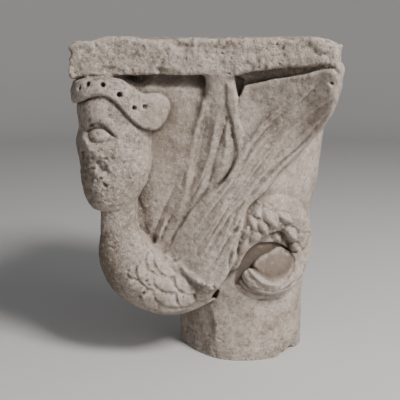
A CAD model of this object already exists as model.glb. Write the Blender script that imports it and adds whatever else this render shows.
"""Looks of the carved limestone capital: its worn surface, its stone, the stage and the light.

The stone is carved as a block of points that each hold their distance to the surface, in
thousandths of the capital's height. Its skin is weathered, thinned and given the stone's
colours, and it stands in for the plain solid.
"""

import bpy
import numpy as np
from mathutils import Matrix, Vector


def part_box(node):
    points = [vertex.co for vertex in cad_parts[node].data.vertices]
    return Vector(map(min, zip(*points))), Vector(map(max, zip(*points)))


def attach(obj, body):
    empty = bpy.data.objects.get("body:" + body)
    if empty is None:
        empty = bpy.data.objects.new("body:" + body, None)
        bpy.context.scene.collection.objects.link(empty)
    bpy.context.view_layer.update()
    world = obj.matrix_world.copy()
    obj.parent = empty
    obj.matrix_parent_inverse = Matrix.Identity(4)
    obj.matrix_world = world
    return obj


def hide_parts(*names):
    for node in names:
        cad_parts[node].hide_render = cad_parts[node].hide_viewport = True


bl_info = {
    "name": "Historiated capital",
    "version": (1, 0, 0),
    "blender": (4, 5, 0),
    "location": "3D View > Sidebar > Capital",
    "description": "Carves the weathered stone of a siren capital and sets its stage",
    "category": "Object",
}

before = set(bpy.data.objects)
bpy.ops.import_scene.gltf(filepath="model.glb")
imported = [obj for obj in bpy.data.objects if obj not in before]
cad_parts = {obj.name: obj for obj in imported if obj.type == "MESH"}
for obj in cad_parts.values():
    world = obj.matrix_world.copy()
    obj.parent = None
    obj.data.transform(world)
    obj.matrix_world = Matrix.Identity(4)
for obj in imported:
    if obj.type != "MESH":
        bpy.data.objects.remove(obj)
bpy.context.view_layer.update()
SOLID_LOW, SOLID_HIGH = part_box("capital")

# Height in metres, and a thousandth of it: the unit of every size below.
HEIGHT = SOLID_HIGH[2]
UNIT = HEIGHT / 1000.0
# Radius of the foot, radius of the relief over it, and where the slab begins.
FOOT = 0.075 / UNIT
RELIEF = 0.108 / UNIT
TOP = 888.6
# Corners of the slab, and how far each of its sides is hollowed between them.
CORNERS = np.array([(-0.1563, -0.1565), (0.1228, -0.1245), (0.110, 0.110), (-0.124, 0.124)]) / UNIT
HOLLOWS = np.array([0.019, 0.010, 0.010, 0.012]) / UNIT
# The head: its middle on plan, the way that the face looks and the way to its near cheek.
HEAD_TURN = np.radians(-56)
FACE = np.array([np.sin(HEAD_TURN), -np.cos(HEAD_TURN), 0.0])
CHEEK = np.array([-FACE[1], FACE[0], 0.0])
HEAD = np.array([-314.0, -332.0, 0.0])


# Depth given to points in open space, and a distance beyond any that is met.
OPEN = 90.0
FAR = 1e6


# Small tools for shapes.
def ramp(a, b, x):
    """Smooth step from 0 at a to 1 at b."""
    t = np.clip((x - a) / (b - a), 0.0, 1.0)
    return t * t * (3.0 - 2.0 * t)


def read(stations, x):
    """Value at x of a line through a few (x, value) stations."""
    xs, values = zip(*stations)
    return np.interp(x, xs, values).astype(np.float32)


def join(a, b, soft=0.0):
    """Two forms as one, with a fillet where they meet."""
    if soft <= 0:
        return np.minimum(a, b)
    h = np.clip(0.5 + 0.5 * (b - a) / soft, 0.0, 1.0)
    return b + (a - b) * h - soft * h * (1.0 - h)


def keep(a, b, soft=0.0):
    """Only what two forms share, with a worn arris where they meet."""
    return -join(-a, -b, soft)


def curve(points, count):
    """Catmull-Rom curve through a few points, as count evenly spread points."""
    pts = np.array(points, dtype=float)
    pts = np.vstack([2 * pts[0] - pts[1], pts, 2 * pts[-1] - pts[-2]])
    s = np.minimum(np.linspace(0, len(pts) - 3, count), len(pts) - 3 - 1e-6)
    k = s.astype(int)
    t = (s - k)[:, None]
    a, b, c, d = pts[k], pts[k + 1], pts[k + 2], pts[k + 3]
    return 0.5 * (2 * b + (c - a) * t + (2 * a - 5 * b + 4 * c - d) * t ** 2
                  + (3 * b - a - 3 * c + d) * t ** 3)


def unit(v):
    """Vector with the same direction and a length of one."""
    return np.asarray(v, dtype=float) / np.linalg.norm(v)


def from_axis(p):
    """Direction straight out of the capital's axis at a point."""
    return unit((p[0], p[1], 0.0))


def from_head(p):
    """Direction straight out of the head's own upright axis at a point."""
    return unit((p[0] - HEAD[0], p[1] - HEAD[1], 0.0))


class Block:
    """Stone block: a grid of points that each hold their distance to the surface."""

    def __init__(self, low, high, step):
        self.step = step
        self.axes = [np.arange(a, b, step, dtype=np.float32) for a, b in zip(low, high)]
        self.low = np.array([axis[0] for axis in self.axes])
        self.high = np.array([axis[-1] for axis in self.axes])
        # Distance from the eye to the stone, for each unit of the sheet, once it is engraved.
        self.front = np.full((400, 400), FAR)
        self.depth = np.full([len(axis) for axis in self.axes], OPEN, np.float32)

    def window(self, low, high):
        """Part of the grid between two corners, with its three axes ready to combine."""
        cut = []
        for axis, a, b in zip(self.axes, low, high):
            cut.append(slice(int(np.searchsorted(axis, a)), int(np.searchsorted(axis, b))))
        x, y, z = (axis[part] for axis, part in zip(self.axes, cut))
        return tuple(cut), x[:, None, None], y[None, :, None], z[None, None, :]

    def cloud(self, size, seed, cut=None):
        """Soft random unevenness between -1 and 1, with lumps of a given size."""
        rng = np.random.default_rng(seed)
        counts = [int((axis[-1] - axis[0]) / size) + 3 for axis in self.axes]
        out = rng.uniform(-1, 1, counts).astype(np.float32)
        for n, axis in enumerate(self.axes):
            part = axis if cut is None else axis[cut[n]]
            t = (part - axis[0]) / size
            k = t.astype(int)
            w = (t - k) ** 2 * (3 - 2 * (t - k))
            w = w.reshape([-1 if m == n else 1 for m in range(3)]).astype(np.float32)
            out = np.take(out, k, axis=n) * (1 - w) + np.take(out, k + 1, axis=n) * w
        return out

    def add(self, cut, distance, soft=0.0):
        """Leave a form standing, inside the window that holds it."""
        self.depth[cut] = join(self.depth[cut], distance, soft)

    def carve(self, cut, distance, soft=0.0):
        """Cut a form away, inside the window that holds it."""
        self.depth[cut] = keep(self.depth[cut], -distance, soft)

    def ball(self, centre, radii, axes=None, soft=0.0, carve=False):
        """Ellipsoid whose radii run along three axes, added to the stone or cut out of it."""
        axes = np.eye(3) if axes is None else np.array(axes)
        reach = max(radii) + 24 + soft
        centre = np.asarray(centre, dtype=float)
        cut, x, y, z = self.window(centre - reach, centre + reach)
        total = 0
        slope = 0
        for axis, radius in zip(axes, radii):
            part = (x - centre[0]) * axis[0] + (y - centre[1]) * axis[1] + (z - centre[2]) * axis[2]
            total = total + (part / radius) ** 2
            slope = slope + (part / radius ** 2) ** 2
        total = np.sqrt(total)
        distance = total * (total - 1) / np.sqrt(slope + 1e-9)
        if carve:
            self.carve(cut, distance, soft)
        else:
            self.add(cut, distance, soft)

    def trace(self, points, widths, depths, outward, count=40, margin=26):
        """Distance to a rounded strip along a curve, and each point's place along and around it.

        Widths run across the strip and depths out of it, both by share of its length.
        """
        path = curve(points, count)
        t = np.linspace(0, 1, count)
        wide = read(widths, t)
        deep = read(depths, t)
        reach = max(wide.max(), deep.max()) + margin
        cut, x, y, z = self.window(path.min(0) - reach, path.max(0) + reach)
        shape = (x.size, y.size, z.size)
        best = np.full(shape, OPEN, np.float32)
        along = np.zeros(shape, np.float32)
        across = np.zeros(shape, np.float32)
        rise = np.zeros(shape, np.float32)
        for i in range(count - 1):
            a, b = path[i], path[i + 1]
            length = np.linalg.norm(b - a)
            ahead = (b - a) / length
            out = outward((a + b) / 2) if callable(outward) else unit(outward)
            out = unit(out - ahead * np.dot(out, ahead))
            side = np.cross(ahead, out)
            near = max(wide[i], wide[i + 1], deep[i], deep[i + 1]) + margin
            part = []
            for axis, m, n in zip((x, y, z), np.minimum(a, b), np.maximum(a, b)):
                line = axis.ravel()
                part.append(slice(*np.searchsorted(line, (m - near, n + near))))
            part = tuple(part)
            px = x[part[0]] - a[0]
            py = y[:, part[1]] - a[1]
            pz = z[:, :, part[2]] - a[2]
            run = px * ahead[0] + py * ahead[1] + pz * ahead[2]
            u = np.clip(run / length, 0, 1)
            w = wide[i] + (wide[i + 1] - wide[i]) * u
            d = deep[i] + (deep[i + 1] - deep[i]) * u
            s = (px * side[0] + py * side[1] + pz * side[2]) / w
            r = (px * out[0] + py * out[1] + pz * out[2]) / d
            e = (run - u * length) / np.minimum(w, d)
            distance = (np.sqrt(s * s + r * r + e * e) - 1) * np.minimum(w, d)
            closer = distance < best[part]
            best[part][closer] = distance[closer]
            along[part][closer] = t[i] + u[closer] / (count - 1)
            across[part][closer] = s[closer]
            rise[part][closer] = r[closer]
        return cut, best, along, np.arctan2(across, rise)

    def skin(self):
        """Points and four-sided faces of the surface where the distance is nought."""
        f = self.depth
        inside = f < 0
        ends = [n - 1 for n in f.shape]
        corners = np.zeros(ends, np.int8)
        for k in range(8):
            o = ((k >> 2) & 1, (k >> 1) & 1, k & 1)
            corners += inside[tuple(slice(a, a + n) for a, n in zip(o, ends))]
        active = (corners > 0) & (corners < 8)
        number = np.full(ends, -1, np.int32)
        cells = np.argwhere(active)
        number[active] = np.arange(len(cells))
        total = np.zeros((len(cells), 3))
        hits = np.zeros(len(cells))
        for axis in range(3):
            others = [m for m in range(3) if m != axis]
            for k in range(4):
                start = np.zeros(3, int)
                start[others[0]] = k >> 1
                start[others[1]] = k & 1
                stop = start.copy()
                stop[axis] = 1
                a = f[tuple((cells + start).T)].astype(float)
                b = f[tuple((cells + stop).T)].astype(float)
                cross = (a < 0) != (b < 0)
                place = np.repeat(start[None, :].astype(float), len(cells), 0)
                place[:, axis] = a / np.where(cross, a - b, 1.0)
                total[cross] += place[cross]
                hits[cross] += 1
        points = self.low + (cells + total / hits[:, None]) * self.step
        quads = []
        for axis in range(3):
            others = [m for m in range(3) if m != axis]
            here = [slice(1, n) for n in ends]
            here[axis] = slice(0, ends[axis])
            there = list(here)
            there[axis] = slice(1, ends[axis] + 1)
            edge = inside[tuple(here)] != inside[tuple(there)]
            place = np.argwhere(edge)
            place[:, others] += 1
            ring = []
            for m, n in ((0, 0), (-1, 0), (-1, -1), (0, -1)):
                p = place.copy()
                p[:, others[0]] += m
                p[:, others[1]] += n
                ring.append(number[tuple(p.T)])
            ring = np.stack(ring, 1)
            turn = inside[tuple(place.T)] == (axis != 1)
            ring[turn] = ring[turn][:, ::-1]
            quads.append(ring[:, ::-1])
        return points, np.concatenate(quads)

    def sample(self, values, points):
        """Values of a grid at any points, by straight lines between its nodes."""
        place = (points - self.low) / self.step
        place = np.clip(place, 0, np.array(values.shape) - 1.001)
        k = place.astype(int)
        w = place - k
        out = 0
        for n in range(8):
            o = np.array([(n >> 2) & 1, (n >> 1) & 1, n & 1])
            share = np.prod(np.where(o, w, 1 - w), axis=1)
            out = out + share * values[tuple((k + o).T)]
        return out

    def engrave(self, picture):
        """Push what is drawn on the sheet into the stone that the eye sees."""
        near = np.abs(self.depth) < 34.0
        cells = np.argwhere(near)
        points = self.low + cells * self.step
        u, v, run = SHEET.place(*points.T)
        skin = np.abs(self.depth[near]) < self.step
        across = np.clip(u, 0, 399).astype(int)
        down = np.clip(v, 0, 399).astype(int)
        np.minimum.at(self.front, (across[skin], down[skin]), run[skin])
        behind = run - self.front[across, down]
        slope = np.zeros(len(cells))
        size = np.zeros(len(cells)) + 1e-6
        way = points - SHEET.eye
        way /= np.linalg.norm(way, axis=1)[:, None]
        for axis in range(3):
            ends = np.array(self.depth.shape)[axis] - 1
            a, b = cells.copy(), cells.copy()
            a[:, axis] = np.maximum(a[:, axis] - 1, 0)
            b[:, axis] = np.minimum(b[:, axis] + 1, ends)
            part = self.depth[tuple(b.T)] - self.depth[tuple(a.T)]
            slope -= part * way[:, axis]
            size += part * part
        weight = ramp(0.04, 0.34, slope / np.sqrt(size)) * ramp(60, 34, behind)
        change = picture.sample(u, v) * weight
        # The hidden side of the head takes the same drawing, a little shallower.
        forward, sideways = head_parts(points[:, 0], points[:, 1])
        far = (sideways < 0) & (np.abs(forward) < 170) & (sideways > -150) & (points[:, 2] > 500)
        far &= points[:, 2] < 880
        mirrored = points[far] - 2 * sideways[far, None] * CHEEK
        mu, mv, _ = SHEET.place(*mirrored.T)
        share = ramp(-8, -40, sideways[far]) * np.where(mu < 166, 0.8, 0.0)
        change[far] = picture.sample(mu, mv) * share + change[far] * (1 - ramp(-8, -40, sideways[far]))
        self.depth[near] -= change.astype(np.float32)

    def hollowness(self, reach):
        """How much open space is near each point: above nought on arrises, below in hollows."""
        out = np.clip(self.depth, -reach * 0.6, reach * 0.6)
        n = max(int(reach / self.step), 1)
        for axis in range(3):
            total = np.cumsum(out, axis=axis, dtype=np.float64)
            size = out.shape[axis]
            high = np.minimum(np.arange(size) + n, size - 1)
            low = np.maximum(np.arange(size) - n - 1, 0)
            span = (high - low).reshape([-1 if m == axis else 1 for m in range(3)])
            out = ((np.take(total, high, axis) - np.take(total, low, axis)) / span)
            out = out.astype(np.float32)
        return out / reach


class Sheet:
    """Sheet of drawing, 400 units wide and high, that is seen from one eye in front of the stone.

    A line on it lands on the stone where the eye sees it, u to the right and v downwards.
    """

    def __init__(self, eye, heading, dip, reach):
        self.eye = np.array(eye) / UNIT
        self.right = np.array([np.cos(heading), np.sin(heading), 0.0])
        self.ahead = np.array([-np.sin(heading) * np.cos(dip), np.cos(heading) * np.cos(dip),
                               -np.sin(dip)])
        self.up = np.cross(self.right, self.ahead)
        self.reach = reach

    def place(self, x, y, z):
        """Where points of the stone are on the sheet, and how far they are from the eye."""
        out = []
        for axis in (self.right, self.up, self.ahead):
            out.append((x - self.eye[0]) * axis[0] + (y - self.eye[1]) * axis[1]
                       + (z - self.eye[2]) * axis[2])
        return 200 + self.reach * out[0] / out[2], 200 - self.reach * out[1] / out[2], out[2]

    def land(self, block, u, v):
        """Point where the line of sight through (u, v) meets the stone."""
        way = self.ahead + self.right * (u - 200) / self.reach - self.up * (v - 200) / self.reach
        run = np.arange(1300.0, 3200.0, 1.5)
        points = self.eye + way * run[:, None]
        inside = np.all((points > block.low + 2) & (points < block.high - 2), axis=1)
        depth = block.sample(block.depth, points)
        first = np.argmax((depth < 0) & inside)
        return points[first]


class Picture:
    """Heights drawn with lines on a flat sheet."""

    def __init__(self, low, high, step=0.5):
        self.low = np.array(low, dtype=float)
        self.step = step
        self.us = np.arange(low[0], high[0], step)
        self.vs = np.arange(low[1], high[1], step)
        self.height = np.zeros((len(self.us), len(self.vs)), np.float32)
        # Lines drawn so far: each is uneven in its own way.
        self.turn = 0

    def beside(self, line, reach=16.0):
        """Signed distance from a smooth line, positive on its right hand, and place along it."""
        points = curve(line, 12 * len(line))
        low = np.searchsorted(self.us, points[:, 0].min() - reach)
        high = np.searchsorted(self.us, points[:, 0].max() + reach)
        top = np.searchsorted(self.vs, points[:, 1].min() - reach)
        end = np.searchsorted(self.vs, points[:, 1].max() + reach)
        cut = (slice(low, high), slice(top, end))
        u = self.us[cut[0]][:, None]
        v = self.vs[cut[1]][None, :]
        best = np.full((u.size, v.size), FAR)
        side = np.full(best.shape, 99.0)
        along = np.zeros(best.shape)
        for i in range(len(points) - 1):
            a, run = points[i], points[i + 1] - points[i]
            length = np.linalg.norm(run) + 1e-9
            t = np.clip(((u - a[0]) * run[0] + (v - a[1]) * run[1]) / length ** 2, 0, 1)
            du = u - a[0] - t * run[0]
            dv = v - a[1] - t * run[1]
            gap = du * du + dv * dv
            closer = gap < best
            best[closer] = gap[closer]
            turned = np.where(run[0] * dv - run[1] * du < 0, -1.0, 1.0)
            side[closer] = (np.sqrt(gap) * turned)[closer]
            along[closer] = ((i + t) / (len(points) - 1))[closer]
        self.turn += 1
        return cut, side, along

    def ends(self, along, fade, wave=0.2):
        """Strength along a line: nothing at its ends, uneven between."""
        out = ramp(0, fade[0], along) * ramp(1, 1 - fade[1], along)
        return out * (1 - wave + wave * np.sin(along * 23 + self.turn * 1.7))

    def groove(self, line, width, depth, fade=(0.1, 0.1)):
        """Furrow with a sharp bottom."""
        cut, side, along = self.beside(line)
        self.height[cut] -= depth * np.exp(-(np.abs(side) / width) ** 1.2) * self.ends(along, fade)

    def ridge(self, line, width, height, fade=(0.1, 0.1)):
        """Rounded ridge."""
        cut, side, along = self.beside(line)
        self.height[cut] += height * np.exp(-(side / width) ** 2) * self.ends(along, fade)

    def ledge(self, line, drop, fall, fade=(0.1, 0.1), wave=0.2):
        """Step that stands up on the line's right hand and falls away behind."""
        cut, side, along = self.beside(line, 30.0)
        high = ramp(-0.7, 0.9, side) * np.exp(-np.clip(side, 0, 99) / fall)
        low = 0.45 * np.exp(-((side + 1.6) / 1.5) ** 2)
        self.height[cut] += drop * (high - low) * self.ends(along, fade, wave)

    def dome(self, u, v, ru, rv, height, turn=0.0, edge=2.0):
        """Low dome or, below nought, a hollow, on an ellipse."""
        c, s = np.cos(turn), np.sin(turn)
        du, dv = self.us[:, None] - u, self.vs[None, :] - v
        q = ((du * c + dv * s) / ru) ** 2 + ((dv * c - du * s) / rv) ** 2
        self.height += height * np.clip(1 - q ** (edge / 2), 0, 1).astype(np.float32)

    def leaf(self, tail, tip, width, height, base=0.0):
        """Pointed scale over what is drawn already, broad and thick towards its round tip."""
        run = np.subtract(tip, tail) / 2
        length = np.linalg.norm(run)
        du = self.us[:, None] - (tail[0] + tip[0]) / 2
        dv = self.vs[None, :] - (tail[1] + tip[1]) / 2
        a = (du * run[0] + dv * run[1]) / length ** 2
        b = (dv * run[0] - du * run[1]) / length
        wide = width * np.clip(1 + 0.8 * np.minimum(a - 0.1, 0), 0.12, 1)
        wide = wide * np.sqrt(np.clip(1 - np.clip((a - 0.1) / 0.9, 0, 1) ** 2, 0, 1)) + 1e-3
        across = (b / wide) ** 2
        inside = (across < 1) & (a > -1) & (a < 1)
        keel = np.clip(1 - across ** 0.75, 0, 1)
        value = base + height * keel * ramp(-1.0, 0.5, a)
        self.height[inside] = value[inside]

    def patch(self, edges, height, edge=1.5):
        """Raised or, below nought, sunk shape inside an outline."""
        outline = self.outline(edges)
        distance = outline.sample(self.us[:, None] + 0 * self.vs, self.vs + 0 * self.us[:, None])
        self.height += height * ramp(edge * 0.3, -edge * 1.7, distance)

    def outline(self, edges):
        """Distance outside a shape whose outline is a run of smooth lines."""
        points = np.vstack([curve(edge, 6 * len(edge)) for edge in edges])
        out = Picture(self.low, (self.us[-1], self.vs[-1]), 1.0)
        u = out.us[:, None]
        v = out.vs[None, :]
        best = np.full(out.height.shape, FAR)
        inside = np.zeros(out.height.shape, bool)
        for a, b in zip(points, np.roll(points, -1, 0)):
            run = b - a
            t = ((u - a[0]) * run[0] + (v - a[1]) * run[1]) / (run @ run + 1e-9)
            t = np.clip(t, 0, 1)
            best = np.minimum(best, (u - a[0] - t * run[0]) ** 2 + (v - a[1] - t * run[1]) ** 2)
            if a[1] != b[1]:
                crossed = (a[1] > v) != (b[1] > v)
                inside ^= crossed & (u < a[0] + run[0] * (v - a[1]) / run[1])
        out.height = (np.sqrt(best) * np.where(inside, -1, 1)).astype(np.float32)
        return out

    def sample(self, u, v):
        """Height at any places of the sheet."""
        a = np.clip((u - self.low[0]) / self.step, 0, len(self.us) - 1.001)
        b = np.clip((v - self.low[1]) / self.step, 0, len(self.vs) - 1.001)
        i, j = a.astype(np.int32), b.astype(np.int32)
        a, b = a - i, b - j
        h = self.height
        return ((h[i, j] * (1 - b) + h[i, j + 1] * b) * (1 - a)
                + (h[i + 1, j] * (1 - b) + h[i + 1, j + 1] * b) * a)


# The camera's place in metres, its turn and dip, and the sheet's distance in its own units.
EYE = (0.166, -0.854, 0.3432)
HEADING, DIP, REACH = np.radians(14.34), np.radians(10.87), 724.59
SHEET = Sheet(EYE, HEADING, DIP, REACH)
# Length on the stone of one unit of the sheet, and the parts of the sheet that are drawn on.
SHEET_UNIT = 2.9
DRAWN_PART = ((50, 25), (360, 375))
FORMS_PART = ((40, 20), (370, 380))
HEAD_PART = ((50, 40), (200, 260))
BAND_PART = ((50, 60), (200, 160))
COIL_PART = ((225, 225), (320, 310))


# The stone's forms, from the bell outwards.
def relief_y(x, z):
    """Front of the relief: flat behind the head, round over the foot, out to the right corner."""
    radius = RELIEF + 24 * ((z - 557) / 285) ** 2
    across = join(np.abs(x), 250, 44) * np.where(x > 0, 1.0, 0.55)
    bulge = ramp(560, 860, z) * ramp(70, 330, x) * 150
    return -np.sqrt(radius * radius - across * across) - bulge


# How far the bell stands out over the foot, by height.
BELL = [(190, 0), (290, 6), (465, 22), (565, 41), (680, 52), (820, 64), (900, 68)]
# The slab along its front: the height of its underside, and how much its top has worn down.
SLAB_UNDER = [(-404, 880), (-372, 884), (-332, 889), (-279, 893), (-211, 896), (-86, 896),
              (40, 893), (60, 899), (82, 904), (124, 910), (193, 915), (247, 918), (295, 920),
              (309, 914), (331, 891)]
SLAB_WORN = [(-424, 26), (-408, 16), (-358, 12), (-342, 8), (-307, 0), (-267, 0), (-234, 3),
             (-199, 12), (-157, 9), (-116, 6), (0, 5), (262, 6), (292, 12), (316, 24), (338, 46)]


def carve_bell(block):
    """Foot and bell: round below, squarer above, drawn out behind the siren's head."""
    cut, x, y, z = block.window((-480, -480, -20), (480, 480, TOP + 14))
    radius = np.sqrt(x * x + y * y)
    a = np.degrees(np.arctan2(y, x)) % 360
    base = FOOT + read(BELL, z)
    square = ramp(420, 900, z) * 16 * np.sin(2 * np.radians(a)) ** 2
    facet = 11 * ramp(266, 236, a) * ramp(196, 226, a) * ramp(320, 250, z)
    crease = 2.5 * np.exp(-((a - 260) / 4.5) ** 2) * ramp(330, 250, z) * ramp(20, 110, z)
    ground = 82 * ramp(np.where(a > 226, 44, 34), 8, np.abs(a - 226))
    fin = 62 * ramp(np.where(a > 217, 26, 18), 6, np.abs(a - 217))
    stone = base + square - facet + crease + (ground + fin) * ramp(215, 400, z)
    # The bell steps back under the abacus, along the front.
    recess = 36 * ramp(850, 888, z) * ramp(185, 200, a) * ramp(352, 338, a)
    distance = np.maximum((radius - stone + recess) * 0.92, z - (TOP + 12))
    block.add(cut, distance)


def carve_abacus(block):
    """Worn slab under the upper bed, lower at its front left corner."""
    cut, x, y, z = block.window((-480, -480, 850), (480, 480, 1020))
    plan = None
    for k, corner in enumerate(CORNERS):
        run = CORNERS[(k + 1) % 4] - corner
        length = np.linalg.norm(run)
        t = ((x - corner[0]) * run[0] + (y - corner[1]) * run[1]) / length ** 2
        inward = (-(x - corner[0]) * run[1] + (y - corner[1]) * run[0]) / length
        side = HOLLOWS[k] * (1 - (2 * np.clip(t, 0, 1) - 1) ** 2) - inward
        plan = side if plan is None else keep(plan, side, 30)
    front = ramp(60, -120, y)
    under = TOP + (read(SLAB_UNDER, x) - TOP) * front
    worn = read(SLAB_WORN, x) * front * ramp(-110, -30, plan)
    worn = worn + 9 * ramp(-90, -10, plan) * (1 - front)
    uneven = block.cloud(46, 3, cut) * 2.4 + block.cloud(17, 4, cut) * 2.0
    uneven = uneven + block.cloud(9, 6, cut) * 1.5
    top = z - (1000 - worn) + uneven * ramp(-110, -40, plan)
    edge = plan + block.cloud(64, 5, cut) * 4 + uneven
    slab = keep(edge, under - z + uneven * 0.8, 15)
    slab = keep(slab, top, 15)
    block.add(cut, slab, 5)


# Where each corner's horn starts, and its half width.
HORNS = [(740, 64), (800, 40), (760, 48), (680, 60)]


def carve_corners(block):
    """Horns that carry the corners of the abacus, rising out of the bell."""
    for corner, (start, width) in zip(CORNERS, HORNS):
        reach = np.linalg.norm(corner)
        out = np.array([*corner / reach, 0.0])
        up = np.array([0.0, 0.0, 1.0])
        points = [out * 150 + up * start, out * reach * 0.62 + up * (start + 90),
                  out * reach * 0.87 + up * (TOP + 8)]
        cut, distance, _, _ = block.trace(points, [(0, width), (1, width * 0.7)],
                                          [(0, 30), (1, 32)], out, 16)
        block.add(cut, distance, 12)


def carve_bosses(block):
    """Boss at the middle of each side, under the abacus."""
    for turn in range(4):
        c, s = np.cos(turn * np.pi / 2), np.sin(turn * np.pi / 2)
        start = 770 if turn else 700
        path = [(-14, -240, start), (-14, -278, 840), (-12, -292, TOP + 16)]
        path = [(px * c - py * s, px * s + py * c, pz) for px, py, pz in path]
        cut, distance, _, _ = block.trace(path, [(0, 16), (0.5, 30), (1, 42)],
                                          [(0, 20), (1, 30)], (s, -c, 0), 16)
        block.add(cut, distance, 6)


def carve_cavity(block, edges, floor, low, high, soft=5.0):
    """Sunk shape, drawn on the sheet, that goes in to a given distance from the axis."""
    outline = Picture(*FORMS_PART).outline(edges)
    cut, x, y, z = block.window(low, high)
    u, v, _ = SHEET.place(x, y, z)
    outside = outline.sample(u, v) * SHEET_UNIT
    block.carve(cut, keep(outside, floor - np.sqrt(x * x + y * y), 3), soft)


def carve_shape(block, edges, lift, soft, low, high, shoulder=5.0, most=334.0):
    """Flat form on the relief, inside an outline drawn on the sheet."""
    outline = Picture(*FORMS_PART).outline(edges)
    cut, x, y, z = block.window(low, high)
    u, v, _ = SHEET.place(x, y, z)
    outside = outline.sample(u, v) * SHEET_UNIT
    lift = lift[0] + (lift[1] - lift[0]) * ramp(20, 250, x)
    distance = (-y + relief_y(x, z) - lift) * 0.85
    distance = keep(distance, outside, shoulder)
    distance = keep(keep(distance, x - most, 34), y + 120, 60)
    block.add(cut, distance, soft)


# Outlines on the sheet of the wings, of what lies around them and of the boss's wedge.
FAR_WING = [
    [(157, 247), (152, 242), (154, 234), (159, 222), (164, 210), (172, 193), (177, 181),
     (187, 154), (194, 127), (200, 104), (206, 90), (207, 74)],
    [(208, 73), (222, 72), (232, 73)],
    [(237, 74), (237, 90), (236, 104), (237, 116), (237, 128), (238, 141), (239, 151), (239, 158)],
    [(236, 164), (215, 196), (195, 222), (178, 244), (168, 256)],
]
NEAR_WING = [
    [(156, 254), (163, 250), (171, 243), (176, 232), (182, 224), (188, 216), (195, 206),
     (200, 198), (208, 191), (219, 185), (227, 177), (233, 167), (237, 157), (241, 150),
     (247, 143), (253, 136), (258, 128), (275, 110), (282, 103), (294, 97), (304, 90), (318, 78),
     (327, 70)],
    [(333, 69), (341, 76), (345, 86), (340, 97), (334, 110), (326, 123)],
    [(322, 130), (310, 142), (300, 153), (290, 163), (281, 170), (271, 184), (262, 194),
     (251, 204), (246, 213), (244, 222), (242, 232), (239, 241), (236, 254), (233, 263),
     (226, 277), (218, 290)],
    [(213, 290), (207, 289), (202, 285), (194, 281), (187, 275), (179, 269), (171, 263),
     (164, 257)],
]
PANEL = [
    [(240, 92), (243, 86), (254, 83.5), (265, 81.5), (278, 78.5), (290, 76.5), (306, 74),
     (323, 70), (336, 71)],
    [(330, 90), (305, 105), (280, 128), (258, 150), (242, 164)],
    [(236, 160), (235, 130), (236, 108)],
]
COVE = [
    [(233, 66), (262, 62), (300, 58), (340, 54)],
    [(344, 66), (344, 84), (334, 96), (310, 104), (238, 108)],
]
NOTCH = [
    [(235, 76), (239, 76.5), (245, 79)],
    [(243, 85), (241.5, 91), (239.5, 95), (237.5, 90), (236, 83)],
]
WEDGE = [
    [(225, 82), (225.5, 95), (226.5, 107), (230.5, 121), (232.5, 134), (235.6, 145),
     (238, 156.5)],
    [(240, 154), (242.5, 143), (243.5, 131), (239, 119), (237.5, 110), (238, 96), (236, 84)],
]


def carve_wings(block):
    """Near wing from shoulder to right corner, over the far wing that rises to the boss."""
    low, high = (-260, -470, 230), (350, -110, 930)
    carve_shape(block, COVE, (-46, -36), 4, (0, -470, 740), high, 10)
    carve_shape(block, PANEL, (-9, -4), 3, (0, -470, 600), high, 12)
    carve_shape(block, FAR_WING, (-9, -9), 14, low, (120, -110, 930), 22)
    carve_shape(block, WEDGE, (-1, -1), 3, (-20, -470, 640), (120, -110, 900), 12)
    carve_shape(block, NEAR_WING, (1, -2), 5, low, high, 9)
    carve_cavity(block, NOTCH, 266, (-20, -400, 760), (60, -200, 900), 7)


SIDE_WING = [
    [(-190, 320), (-110, 400), (-20, 510), (90, 620), (200, 720), (290, 800), (318, 900)],
    [(60, 900), (40, 840), (0, 780), (-60, 700), (-126, 610), (-186, 500), (-236, 390)],
]


def carve_side_wing(block):
    """Plainer wing on the hidden left side, that sweeps to the back corner."""
    picture = Picture((-300, 280), (360, 920), 4.0)
    low, high = (np.array(edge) for edge in (SIDE_WING[0], SIDE_WING[1][::-1]))
    # Feathers at even shares of the wing's width.
    for share, drop in ((0.2, 6), (0.4, 7), (0.6, 6), (0.8, 7)):
        picture.ledge(low + (high - low) * share, drop, 34.0, (0.1, 0.05))
    outline = picture.outline(SIDE_WING)
    cut, x, y, z = block.window((-430, -300, 290), (-100, 360, 910))
    place = (y[0], z[0])
    face = relief_y(*place) - 6 - picture.sample(*np.broadcast_arrays(*place))
    outside = outline.sample(*np.broadcast_arrays(*place))
    distance = (-x + face[None]) * 0.85
    distance = keep(distance, outside[None], 9)
    block.add(cut, np.maximum(distance, x + 120), 4)


def draw_barbs(picture, left, right, count, seed, depth):
    """Fine broken furrows that run along a wing, between its two sides."""
    rng = np.random.default_rng(seed)
    left, right = curve(left, 40), curve(right, 40)
    for _ in range(count):
        share = rng.uniform(0.06, 0.94)
        start = rng.uniform(0.0, 0.6)
        stop = min(start + rng.uniform(0.25, 0.55), 1.0)
        line = (left + (right - left) * share)[int(start * 39):int(stop * 39) + 1:5]
        if len(line) > 2:
            line = line + rng.uniform(-0.5, 0.5, line.shape)
            picture.groove(line, rng.uniform(0.6, 1.1), depth * rng.uniform(0.4, 1.3), (0.3, 0.3))


# Both wings' front and rear edges.
NEAR_FRONT = [(171, 246), (195, 210), (233, 170), (258, 130), (290, 102), (326, 74)]
NEAR_REAR = [(214, 286), (232, 262), (245, 214), (280, 172), (310, 144), (326, 124)]
FAR_FRONT = [(158, 240), (172, 200), (187, 158), (200, 108), (208, 80)]
FAR_REAR = [(172, 244), (200, 200), (220, 168), (228, 130), (229, 90)]
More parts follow.
